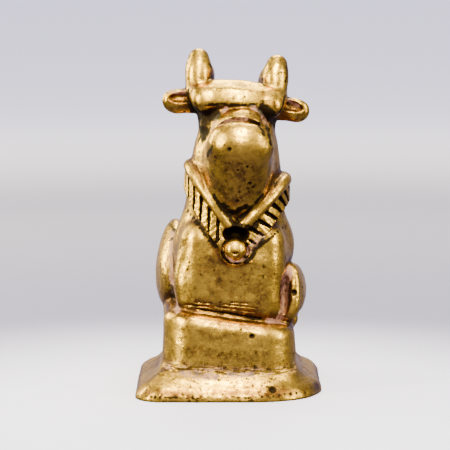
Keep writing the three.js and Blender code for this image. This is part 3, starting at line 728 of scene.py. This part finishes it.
# Wear that the photograph shows, and painted shade. Holes are a pixel of it and a radius in millimetres, and
# the lines of pink residue, streaks, soot, specks and tarnish are a radius and the pixels that they pass
# through. Some soot and tarnish lines are painted shade: in the eye hollows, under the brow, along the horn
# edges, at the top of the right haunch, and a painted contact shadow along the foot's bottom rim.
wearAndPaintedShade = {
    "holes": [
        (229.6, 149.6, 0.42),
        (247.2, 166.6, 0.28),
        (238.0, 170.2, 0.24),
        (249.6, 183.6, 0.42),
        (253.4, 187.2, 0.3),
        (237.6, 200.4, 0.36),
        (172.0, 238.6, 0.34),
        (252.0, 336.4, 0.5),
        (294.0, 292.6, 0.62),
        (286.4, 265.8, 0.55),
        (272.6, 389.6, 0.75),
    ],
    "residue": [
        (1.0, [(213, 129), (216, 119), (226, 109)]),
        (1.0, [(252, 107), (260, 114), (266, 125)]),
        (0.7, [(220, 125), (232, 120), (246, 119)]),
        (1.2, [(172, 232), (171, 256), (172, 278), (176, 298), (178, 312)]),
        (2.0, [(288, 272), (286, 288), (284, 304), (279, 318)]),
        (1.3, [(247, 252), (254, 246), (262, 236)]),
        (0.8, [(226, 256), (234, 261), (243, 259)]),
        (1.2, [(268, 321), (284, 324)]),
        (0.9, [(168, 92), (184, 92)]),
        (0.9, [(288, 100), (298, 105)]),
        (1.1, [(182, 373), (198, 376), (216, 377)]),
        (0.9, [(228, 374), (242, 375), (252, 374)]),
    ],
    "streaks": [
        (2.4, [(168, 367), (186, 370), (208, 372)]),
        (2.4, [(206, 371), (230, 373), (258, 371)]),
        (1.8, [(256, 372), (276, 372), (294, 368)]),
    ],
    "sootAndShade": [
        # painted shade and dark patina in an eye hollow under the brow
        (2.8, [(196, 110), (199, 118), (203, 128)]),
        (2.0, [(206, 112), (213, 113), (218, 116)]),
        (2.2, [(197, 120), (200, 128), (203, 137)]),
        (1.8, [(210, 116), (208, 126), (206, 134)]),
        (1.5, [(202, 113), (209, 113), (213, 118)]),
        # painted shade under the brow's ledge
        (0.7, [(206, 105), (222, 104), (240, 105), (256, 104)]),
        # painted shade and dark patina in the other eye hollow
        (2.4, [(263, 109), (270, 115), (275, 124)]),
        (1.2, [(266, 126), (269, 134), (271, 144)]),
        # painted shade and patina along the horns' edges
        (0.8, [(209, 64), (212, 70), (212, 78)]),
        (0.7, [(262, 66), (261, 72), (263, 80)]),
        (0.7, [(287, 66), (287, 74), (285, 82)]),
        (0.9, [(188, 90), (189, 100), (192, 112)]),
        (0.8, [(285, 96), (283, 106), (280, 112)]),
        (0.7, [(202, 128), (201, 134), (198, 142)]),
        (1.0, [(257, 124), (261, 129), (263, 134)]),
        (1.0, [(212, 145), (207, 156)]),
        (1.2, [(214, 196), (222, 208), (231, 220), (235, 226)]),
        (1.2, [(262, 196), (252, 206), (243, 216)]),
        (1.5, [(224, 205), (234, 212), (245, 206)]),
        (1.4, [(224, 232), (236, 226), (252, 228), (256, 224)]),
        (0.9, [(186, 208), (200, 228), (216, 246)]),
        (0.8, [(282, 228), (268, 240), (256, 248)]),
        (1.0, [(246, 262), (254, 254), (262, 240)]),
        # painted shade where the top of the right haunch meets the shoulder
        (0.9, [(168, 222), (176, 232)]),
        (0.8, [(172, 286), (177, 302)]),
        # a painted contact shadow with patina along the foot's bottom rim
        (0.7, [(142, 396), (170, 398), (204, 398)]),
        (0.7, [(226, 398), (262, 397), (296, 393)]),
    ],
    "specks": [
        (1.2, [(184, 304), (214, 309), (240, 316), (264, 320)]),
        (2.1, [(182, 365), (214, 367), (250, 368), (288, 364)]),
        (1.2, [(180, 366), (210, 369), (244, 370)]),
        (1.5, [(144, 398), (180, 399), (220, 399), (270, 398), (306, 393)]),
        (1.6, [(196, 350), (222, 354), (254, 354)]),
        (1.6, [(222, 180), (240, 190), (252, 186)]),
        (1.2, [(266, 262), (262, 276), (254, 288)]),
        (1.4, [(186, 268), (196, 262), (208, 252)]),
        (1.2, [(212, 92), (230, 98), (252, 94)]),
        (1.4, [(160, 384), (196, 383), (240, 382), (286, 380)]),
    ],
    "tarnishAndShade": [
        # painted shade and patina along a horn's outer edge
        (0.9, [(186, 60), (186, 72), (188, 86)]),
        (1.2, [(190, 86), (200, 88), (208, 84)]),
        (1.8, [(192, 92), (196, 104), (208, 109)]),
        (1.8, [(263, 94), (274, 103), (280, 112)]),
        (0.8, [(212, 83), (236, 82), (258, 84)]),
        # painted shade and patina along the other horn's edges
        (0.8, [(262, 60), (262, 70), (264, 82)]),
        (0.9, [(287, 62), (287, 74), (284, 86)]),
        (1.6, [(168, 104), (182, 108), (190, 106)]),
        (1.4, [(284, 116), (296, 119), (306, 110)]),
        (3.2, [(228, 170), (244, 178), (236, 198)]),
        (3.4, [(220, 188), (236, 200), (252, 190)]),
        (1.4, [(212, 152), (222, 162), (246, 164)]),
        (1.4, [(272, 150), (268, 176), (258, 194)]),
        (2.8, [(206, 258), (222, 272), (214, 290)]),
        (2.4, [(244, 276), (262, 290), (256, 308)]),
        (1.6, [(186, 296), (206, 302), (236, 306)]),
        (2.2, [(188, 350), (226, 356), (264, 355)]),
        (1.2, [(200, 332), (214, 338), (228, 334)]),
        (1.7, [(180, 366), (212, 368), (250, 369), (290, 365)]),
        (1.5, [(160, 390), (200, 391), (240, 391), (284, 388)]),
        # a painted contact shadow with patina along the foot's bottom rim
        (1.4, [(150, 396), (226, 397), (304, 393)]),
        (0.9, [(160, 244), (157, 268), (160, 292)]),
    ],
}

# strokes of a file along the foot of the chest, as pixels of the photograph: from, to, and radius
fileStrokes = [
    ((184, 304.5), (214, 307.5), 0.2),
    ((196, 309.0), (262, 319.5), 0.26),
    ((214, 306.5), (256, 312.6), 0.13),
    ((222, 304.2), (261, 308.4), 0.12),
    ((228, 302.0), (252, 304.4), 0.1),
    ((194, 302.2), (212, 304.0), 0.11),
]


# the casting's uneven skin, in millimetres: the height and width of its swells, the depth of its pits, the
# size of the cells that may hold one and the share that do, how far shelter is felt and with what weight, and
# how deep a cut is when its patina starts and when it is full
casting = {
    "swells": [(0.1, 5.2), (0.06, 2.1), (0.024, 0.8)],
    "widePits": {"depth": 0.1, "cell": 1.1, "share": 0.35, "salt": 20},
    "finePits": {"depth": 0.06, "cell": 0.7, "share": 0.4, "salt": 30},
    "roughPatches": 6.5,
    "holeDepth": 0.9,
    "shelter": [(0.35, 0.2), (0.8, 0.25), (1.7, 0.3), (3.4, 0.25)],
    "cutStart": 0.11,
    "cutFull": 0.24,
}


def strokeForms(form):
    tools = []
    for start, end, radius in fileStrokes:
        places = seen(form, np.linspace(start, end, 9))
        tools.append(limb(places, [radius * 0.3] + [radius] * (len(places) - 2) + [radius * 0.3], 1))
    return tools


def castPits(p, name):
    kind = casting[name]
    return pits(p, kind["cell"], kind["share"], kind["salt"])


def roughPatches(p, least):
    # where the casting came out rough, from the least share to 1
    return np.clip(0.5 + 1.2 * swell(p, casting["roughPatches"], 14), least, 1)


def relief(p, holes):
    # how far the cast and handled surface stands off the plain form, in millimetres
    height = sum(high * swell(p, wide, 11 + i) for i, (high, wide) in enumerate(casting["swells"]))
    rough = roughPatches(p, 0)
    low = np.clip((seat + 3 - p[:, 2]) / 6, 0, 1)
    height -= casting["widePits"]["depth"] * castPits(p, "widePits") * (0.35 + 0.65 * rough)
    height -= casting["finePits"]["depth"] * castPits(p, "finePits") * np.maximum(rough, low)
    for middle, radius in holes:
        height -= radius * casting["holeDepth"] * near(p, middle, radius * 1.25)
    return height


def meshOf(name, places, faces):
    data = bpy.data.meshes.new(name)
    data.from_pydata((places * metre).tolist(), [], faces.tolist())
    return data


def normalsOf(data):
    normals = np.empty(len(data.vertices) * 3, np.float32)
    data.vertices.foreach_get("normal", normals)
    return normals.reshape(-1, 3)


def placesOf(data):
    places = np.empty(len(data.vertices) * 3, np.float32)
    data.vertices.foreach_get("co", places)
    return places.reshape(-1, 3) / metre


def thinned(piece, wanted):
    # the same surface with about that many triangles
    have = sum(len(face.vertices) - 2 for face in piece.data.polygons)
    if have <= wanted:
        return
    modifier = piece.modifiers.new("thin", "DECIMATE")
    modifier.ratio = wanted / have
    graph = bpy.context.evaluated_depsgraph_get()
    plain = bpy.data.meshes.new_from_object(piece.evaluated_get(graph))
    piece.modifiers.clear()
    old, piece.data = piece.data, plain
    bpy.data.meshes.remove(old)


def addAttribute(data, name, values):
    layer = data.attributes.new(name, "FLOAT", "POINT")
    layer.data.foreach_set("value", np.clip(values, 0, 1).astype(np.float32))


def makeFigure():
    uncut = figureForm(False)
    form = figureForm(True)
    form = carve(0.12, form, *strokeForms(form))
    step = mesh["cell"]
    low = np.array([cadLow[0], cadLow[1], 0]) - mesh["margin"]
    counts = np.ceil((cadHigh + mesh["margin"] - low) / step).astype(int) + 1
    values = sample(form, low, counts, step)
    print("sampled", values.shape)
    places, faces = largestBody(*skin(values, low, step))
    print("skinned", len(places), "corners")
    data = meshOf("nandi", places, faces)
    holes = [(seen(form, [spot[:2]])[0], spot[2]) for spot in wearAndPaintedShade["holes"]]
    normals = normalsOf(data)
    underside = places[:, 2] < step / 2
    height = relief(places, holes)
    moved = places + normals * np.where(underside, 0, height)[:, None]
    moved[:, 2] = np.where(underside, 0, np.maximum(moved[:, 2], 0))
    moved = np.clip(moved, cadLow, cadHigh)
    data.vertices.foreach_set("co", (moved * metre).astype(np.float32).ravel())
    piece = bpy.data.objects.new("nandi_bull", data)
    bpy.context.scene.collection.objects.link(piece)
    thinned(piece, mesh["triangles"])
    print("thinned to", len(piece.data.polygons), "faces")
    paintWearAndShade(piece.data, form, uncut, holes)
    piece.data.shade_smooth()
    return piece


def paintWearAndShade(data, form, uncut, holes):
    # how sheltered, pitted, cut, pink or sooty each place is, with the painted shade that some soot and
    # tarnish lines carry, kept with the mesh for its finish
    p = placesOf(data)
    normals = normalsOf(data)
    shelter = np.zeros(len(p))
    for reach, weight in casting["shelter"]:
        clear = measure(form, p + normals * reach)
        shelter += weight * np.clip(1 - clear / reach, 0, 1)
    pitted = np.maximum(0.8 * castPits(p, "widePits"), 0.7 * castPits(p, "finePits"))
    pitted *= roughPatches(p, 0.1)
    for middle, radius in holes:
        pitted = np.maximum(pitted, 1.6 * near(p, middle, radius * 2))
    addAttribute(data, "shelter", shelter)
    addAttribute(data, "pitted", pitted)
    cut = spreadOf(-measure(uncut, p), casting["cutStart"], casting["cutFull"])
    addAttribute(data, "cut", cut)
    for name in ("residue", "streaks", "sootAndShade", "specks", "tarnishAndShade"):
        addAttribute(data, name, alongLines(form, p, wearAndPaintedShade[name]))


def spreadOf(values, low, high):
    share = np.clip((values - low) / (high - low), 0, 1)
    return share * share * (3 - 2 * share)


def alongLines(form, p, lines):
    # 1 on the lines that the photograph shows, falling softly to 0 at their radius
    found = np.zeros(len(p))
    for radius, pixels in lines:
        places = seen(form, smoothLine(pixels, 6))
        box = np.all((p > places.min(0) - radius) & (p < places.max(0) + radius), axis=1)
        reach = np.full(box.sum(), np.inf)
        for place in places:
            reach = np.minimum(reach, np.sqrt(((p[box] - place) ** 2).sum(1)))
        found[box] = np.maximum(found[box], spreadOf(-reach, -radius, 0))
    return found


# Materials.


def newMaterial(name):
    material = bpy.data.materials.new(name)
    material.use_nodes = True
    nodes = material.node_tree.nodes
    return material, nodes, material.node_tree.links, nodes["Principled BSDF"]


# the brass's colours, roughness and bump, and how fine its patches, grain and rubbing are
brassFinish = {
    "bright": (0.86, 0.49, 0.05),
    "brown": (0.17, 0.07, 0.018),
    "olive": (0.46, 0.26, 0.045),
    "residue": (0.3, 0.135, 0.12),
    "sootAndShade": (0.022, 0.013, 0.008),
    "roughBright": 0.23,
    "roughDull": 0.4,
    "residueMetal": 0.15,
    "bump": 0.4,
    "bumpDepth": 0.00014,
    "cloudScale": 150,
    "mottleScale": 480,
    "brokenScale": 900,
    "rubbingScale": 1100,
    "grainScale": 1500,
    "rubbingStretch": (0.35, 0.35, 2.6),
    "rubbingTurn": (0.2, 0.15, 0),
}


def brassMaterial():
    look = brassFinish
    material, nodes, links, shader = newMaterial("brass")

    def attribute(name):
        node = nodes.new("ShaderNodeAttribute")
        node.attribute_name = name
        return node.outputs["Fac"]

    def noise(scale, detail=4.0, roughness=0.55, distortion=0.0):
        node = nodes.new("ShaderNodeTexNoise")
        links.new(coordinates.outputs["Object"], node.inputs["Vector"])
        node.inputs["Scale"].default_value = scale
        node.inputs["Detail"].default_value = detail
        node.inputs["Roughness"].default_value = roughness
        node.inputs["Distortion"].default_value = distortion
        return node.outputs["Fac"]

    def number(operation, a, b=None, clamp=False):
        node = nodes.new("ShaderNodeMath")
        node.operation = operation
        node.use_clamp = clamp
        for socket, value in zip(node.inputs, (a, b)):
            if value is None:
                continue
            if isinstance(value, (int, float)):
                socket.default_value = value
            else:
                links.new(value, socket)
        return node.outputs[0]

    def spread(value, low, high, toLow=0.0, toHigh=1.0):
        node = nodes.new("ShaderNodeMapRange")
        node.interpolation_type = "SMOOTHSTEP"
        links.new(value, node.inputs["Value"])
        for socket, size in zip(("From Min", "From Max", "To Min", "To Max"), (low, high, toLow, toHigh)):
            node.inputs[socket].default_value = size
        return node.outputs[0]

    def mix(share, a, b):
        node = nodes.new("ShaderNodeMix")
        node.data_type = "RGBA"
        links.new(share, node.inputs["Factor"])
        for socket, value in ((node.inputs[6], a), (node.inputs[7], b)):
            if isinstance(value, tuple):
                socket.default_value = (*value, 1)
            else:
                links.new(value, socket)
        return node.outputs[2]

    coordinates = nodes.new("ShaderNodeTexCoord")
    cloudy = noise(look["cloudScale"], 5, 0.6, 0.6)
    mottled = noise(look["mottleScale"], 6, 0.7, 0.4)
    grainy = noise(look["grainScale"], 4, 0.65)
    broken = noise(look["brokenScale"], 5, 0.7)
    shelter = attribute("shelter")
    residue = spread(attribute("residue"), 0.0, 0.6)
    stretched = nodes.new("ShaderNodeMapping")
    stretched.inputs["Scale"].default_value = look["rubbingStretch"]
    stretched.inputs["Rotation"].default_value = look["rubbingTurn"]
    links.new(coordinates.outputs["Object"], stretched.inputs["Vector"])
    rubbing = noise(look["rubbingScale"], 4, 0.7)
    links.new(stretched.outputs["Vector"], rubbing.node.inputs["Vector"])

    # tarnish, browner in sheltered places, where the photograph shows it, and in clouds elsewhere; its lines
    # along the horn edges and the foot's bottom rim are painted shade
    clouds = number("MULTIPLY", spread(cloudy, 0.38, 0.62), spread(mottled, 0.42, 0.62))
    clouds = number("ADD", number("MULTIPLY", clouds, 0.6), spread(broken, 0.5, 0.72, 0.0, 0.45))
    browner = number("MULTIPLY", attribute("tarnishAndShade"), spread(broken, 0.36, 0.6, 0.25, 0.95))
    sheltered = spread(shelter, 0.03, 0.36, 0.0, 0.9)
    brownShare = number("ADD", sheltered, number("MAXIMUM", clouds, browner), True)
    oliveShare = spread(mottled, 0.4, 0.66, 0.0, 0.7)
    colour = mix(oliveShare, look["bright"], look["olive"])
    colour = mix(brownShare, colour, look["brown"])

    # pink residue where it was left, broken up at its edges
    dusty = number("MULTIPLY", spread(shelter, 0.14, 0.4), spread(noise(330, 4, 0.7), 0.5, 0.66, 0.0, 0.35))
    pinkRaw = number("ADD", number("MAXIMUM", residue, dusty), spread(grainy, 0.35, 0.65, -0.3, 0.2))
    pinkShare = number("MULTIPLY", spread(pinkRaw, 0.2, 0.9), spread(broken, 0.4, 0.56, 0.3, 0.95))
    streaks = attribute("streaks")
    pinkStreaks = number("MULTIPLY", streaks, spread(rubbing, 0.51, 0.58, 0.0, 0.85))
    pinkShare = number("MAXIMUM", pinkShare, pinkStreaks, True)
    colour = mix(pinkShare, colour, look["residue"])

    # soot-black patina deep in the hollows, in cuts and pits, in specks and where it was left, and painted
    # shade where its lines lie in the eye hollows, under the brow, along the horn edges and at the top of the
    # right haunch, with a painted contact shadow along the foot's bottom rim
    deep = number("MULTIPLY", spread(shelter, 0.2, 0.62, 0.0, 0.8), number("SUBTRACT", 1, residue, True))
    sootAndShadeRaw = number("ADD", spread(attribute("sootAndShade"), 0.0, 0.9, 0.0, 1.2), deep)
    blotches = number("ADD", spread(mottled, 0.36, 0.62, -0.2, 0.2), spread(broken, 0.36, 0.66, -0.3, 0.3))
    sootAndShadeRaw = number("ADD", sootAndShadeRaw, blotches)
    specks = number("MULTIPLY", spread(noise(1100, 3), 0.585, 0.67), spread(cloudy, 0.36, 0.6, 0.25, 0.95))
    inPits = spread(attribute("pitted"), 0.25, 0.8, 0.0, 0.95)
    inCuts = number("MULTIPLY", attribute("cut"), 0.95)
    darkStreaks = number("MULTIPLY", streaks, spread(rubbing, 0.525, 0.465, 0.0, 0.92))
    fields = number("MULTIPLY", spread(attribute("specks"), 0.0, 0.7), spread(broken, 0.5, 0.64, 0.0, 0.95))
    specks = number("MAXIMUM", specks, number("MAXIMUM", darkStreaks, fields))
    sootAndShadeShare = number("MAXIMUM", spread(sootAndShadeRaw, 0.2, 1.05), number("MAXIMUM", specks, inPits))
    sootAndShadeShare = number("MAXIMUM", sootAndShadeShare, inCuts, True)
    colour = mix(sootAndShadeShare, colour, look["sootAndShade"])
    links.new(colour, shader.inputs["Base Color"])

    dull = number("MAXIMUM", pinkShare, sootAndShadeShare)
    links.new(spread(pinkShare, 0.1, 1.0, 1.0, look["residueMetal"]), shader.inputs["Metallic"])
    rough = spread(mottled, 0.3, 0.7, look["roughBright"], look["roughDull"])
    rough = number("ADD", rough, spread(grainy, 0.35, 0.7, -0.03, 0.06))
    links.new(number("ADD", rough, number("MULTIPLY", dull, 0.3), True), shader.inputs["Roughness"])

    # fine casting grain and rubbing, too small for the mesh
    height = number("ADD", number("MULTIPLY", grainy, 0.5), number("MULTIPLY", rubbing, 0.5))
    bump = nodes.new("ShaderNodeBump")
    bump.inputs["Strength"].default_value = look["bump"]
    bump.inputs["Distance"].default_value = look["bumpDepth"]
    links.new(height, bump.inputs["Height"])
    links.new(bump.outputs["Normal"], shader.inputs["Normal"])
    return material


# the floor's pale colours, each with its place between the rim and the middle of the pool round the figure,
# and in metres the pool's radius, how far forward it lies and half the floor's width. The colours are painted
# light and shade: darker in a ring round the figure where the lamps light the floor most, paler again just
# under it and pale far off, standing in for how the light falls on the floor
floorPaintedLight = {
    "near": (0.52, 0.497, 0.84),
    "nearPlace": 0.93,
    "middle": (0.138, 0.13, 0.265),
    "middlePlace": 0.8,
    "behind": (0.228, 0.217, 0.35),
    "behindPlace": 0.45,
    "far": (0.82, 0.77, 0.95),
    "pool": 0.62,
    "forward": 0.05,
    "halfWidth": 3.0,
    "roughness": 0.8,
}


def makeFloor():
    material, nodes, links, shader = newMaterial("pale_floor_painted_light")
    coordinates = nodes.new("ShaderNodeTexCoord")
    mapping = nodes.new("ShaderNodeMapping")
    mapping.inputs["Scale"].default_value = [1 / floorPaintedLight["pool"]] * 3
    mapping.inputs["Location"].default_value = (0, floorPaintedLight["forward"], 0)
    gradient = nodes.new("ShaderNodeTexGradient")
    gradient.gradient_type = "SPHERICAL"
    links.new(coordinates.outputs["Object"], mapping.inputs["Vector"])
    links.new(mapping.outputs["Vector"], gradient.inputs["Vector"])
    # the ramp paints light and shade into the floor's colour by distance from the figure
    ramp = nodes.new("ShaderNodeValToRGB")
    ramp.color_ramp.interpolation = "EASE"
    ramp.color_ramp.elements[0].color = (*floorPaintedLight["far"], 1)
    ramp.color_ramp.elements[1].color = (*floorPaintedLight["near"], 1)
    ramp.color_ramp.elements[1].position = floorPaintedLight["nearPlace"]
    for name in ("behind", "middle"):
        ramp.color_ramp.elements.new(floorPaintedLight[name + "Place"]).color = (*floorPaintedLight[name], 1)
    links.new(gradient.outputs["Fac"], ramp.inputs["Fac"])
    links.new(ramp.outputs["Color"], shader.inputs["Base Color"])
    shader.inputs["Roughness"].default_value = floorPaintedLight["roughness"]
    half = floorPaintedLight["halfWidth"]
    data = bpy.data.meshes.new("floor")
    corners = [(-half, -half, 0), (half, -half, 0), (half, half, 0), (-half, half, 0)]
    data.from_pydata(corners, [], [(0, 1, 2, 3)])
    data.materials.append(material)
    floor = bpy.data.objects.new("floor", data)
    floor.visible_glossy = False
    bpy.context.scene.collection.objects.link(floor)
    floor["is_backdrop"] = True


# soft boxes: where each stands and what it aims at, in metres, its width, height and power
softBoxes = {
    "leftBox": {"place": (-0.40, -0.20, 0.21), "aim": (0, 0, 0.035), "size": (0.08, 0.40), "power": 4.4},
    "backLeftBox": {"place": (-0.36, 0.20, 0.20), "aim": (0, 0, 0.035), "size": (0.12, 0.30), "power": 3.0},
    "frontBox": {"place": (0.03, -0.42, 0.30), "aim": (0, 0, 0.04), "size": (0.11, 0.12), "power": 2.6},
    "topBox": {"place": (0.03, -0.17, 0.47), "aim": (0, 0, 0.04), "size": (0.16, 0.26), "power": 6.2},
    "backTopBox": {"place": (0.02, 0.28, 0.38), "aim": (0, 0, 0.04), "size": (0.22, 0.18), "power": 3.0},
    "rightBox": {"place": (0.41, -0.17, 0.21), "aim": (0, 0, 0.035), "size": (0.10, 0.34), "power": 3.0},
}
lightTint = (1.0, 0.97, 0.46)
# the room's own light by height, dimmer to the sides, and an even light that only the floor takes
surroundings = {
    "above": (0.34, 0.34, 0.52),
    "level": (0.42, 0.415, 0.72),
    "below": (0.33, 0.31, 0.52),
    "aboveFrom": 0.65,
    "levelAt": 0.48,
    "belowFrom": 0.3,
    "aside": 0.45,
    "asideFrom": 0.15,
    "asideFull": 0.95,
    "floorLight": 4.6,
    "floorSpread": 60,
}


def makeLight():
    for name, box in softBoxes.items():
        data = bpy.data.lights.new(name, "AREA")
        data.shape = "RECTANGLE"
        data.size, data.size_y = box["size"]
        data.energy = box["power"]
        data.color = lightTint
        light = bpy.data.objects.new(name, data)
        light.location = box["place"]
        aim = Vector(box["aim"]) - Vector(box["place"])
        light.rotation_euler = aim.to_track_quat("-Z", "Y").to_euler()
        bpy.context.scene.collection.objects.link(light)
    data = bpy.data.lights.new("floorLight", "SUN")
    data.energy = surroundings["floorLight"]
    data.angle = math.radians(surroundings["floorSpread"])
    light = bpy.data.objects.new("floorLight", data)
    light.visible_glossy = False
    bpy.context.scene.collection.objects.link(light)
    world = bpy.data.worlds.new("surroundings")
    world.use_nodes = True
    nodes, links = world.node_tree.nodes, world.node_tree.links
    coordinates = nodes.new("ShaderNodeTexCoord")
    parts = nodes.new("ShaderNodeSeparateXYZ")
    links.new(coordinates.outputs["Generated"], parts.inputs["Vector"])
    height = nodes.new("ShaderNodeMapRange")
    height.inputs["From Min"].default_value = -1
    links.new(parts.outputs["Z"], height.inputs["Value"])
    ramp = nodes.new("ShaderNodeValToRGB")
    ramp.color_ramp.interpolation = "EASE"
    low, high = ramp.color_ramp.elements
    low.position, low.color = surroundings["belowFrom"], (*surroundings["below"], 1)
    high.position, high.color = surroundings["aboveFrom"], (*surroundings["above"], 1)
    ramp.color_ramp.elements.new(surroundings["levelAt"]).color = (*surroundings["level"], 1)
    links.new(height.outputs["Result"], ramp.inputs["Fac"])
    links.new(ramp.outputs["Color"], nodes["Background"].inputs["Color"])
    sideways = nodes.new("ShaderNodeMath")
    sideways.operation = "ABSOLUTE"
    links.new(parts.outputs["X"], sideways.inputs[0])
    dimming = nodes.new("ShaderNodeMapRange")
    dimming.interpolation_type = "SMOOTHSTEP"
    dimming.inputs["From Min"].default_value = surroundings["asideFrom"]
    dimming.inputs["From Max"].default_value = surroundings["asideFull"]
    dimming.inputs["To Min"].default_value = 1
    dimming.inputs["To Max"].default_value = surroundings["aside"]
    links.new(sideways.outputs[0], dimming.inputs["Value"])
    links.new(dimming.outputs["Result"], nodes["Background"].inputs["Strength"])
    bpy.context.scene.world = world


def makeCamera():
    data = bpy.data.cameras.new("camera")
    data.sensor_width = view["sensor"]
    data.lens = view["focal"] / view["image"] * data.sensor_width
    data.clip_start = view["clip"]
    camera = bpy.data.objects.new("camera", data)
    camera.location = Vector(cameraPlace * metre)
    camera.rotation_euler = Vector(cameraForward).to_track_quat("-Z", "Y").to_euler()
    bpy.context.scene.collection.objects.link(camera)
    bpy.context.scene.camera = camera


makeCamera()
makeLight()
makeFloor()
print("stage is ready")

figure = makeFigure()
figure.data.materials.append(brassMaterial())
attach(figure, "root")
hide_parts("nandi_bull_figure")
print("figure is dressed")

boxes = {"cad": cadBox, "visual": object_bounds()}
{name: [[float(n) for n in corner] for corner in box] for name, box in boxes.items()}
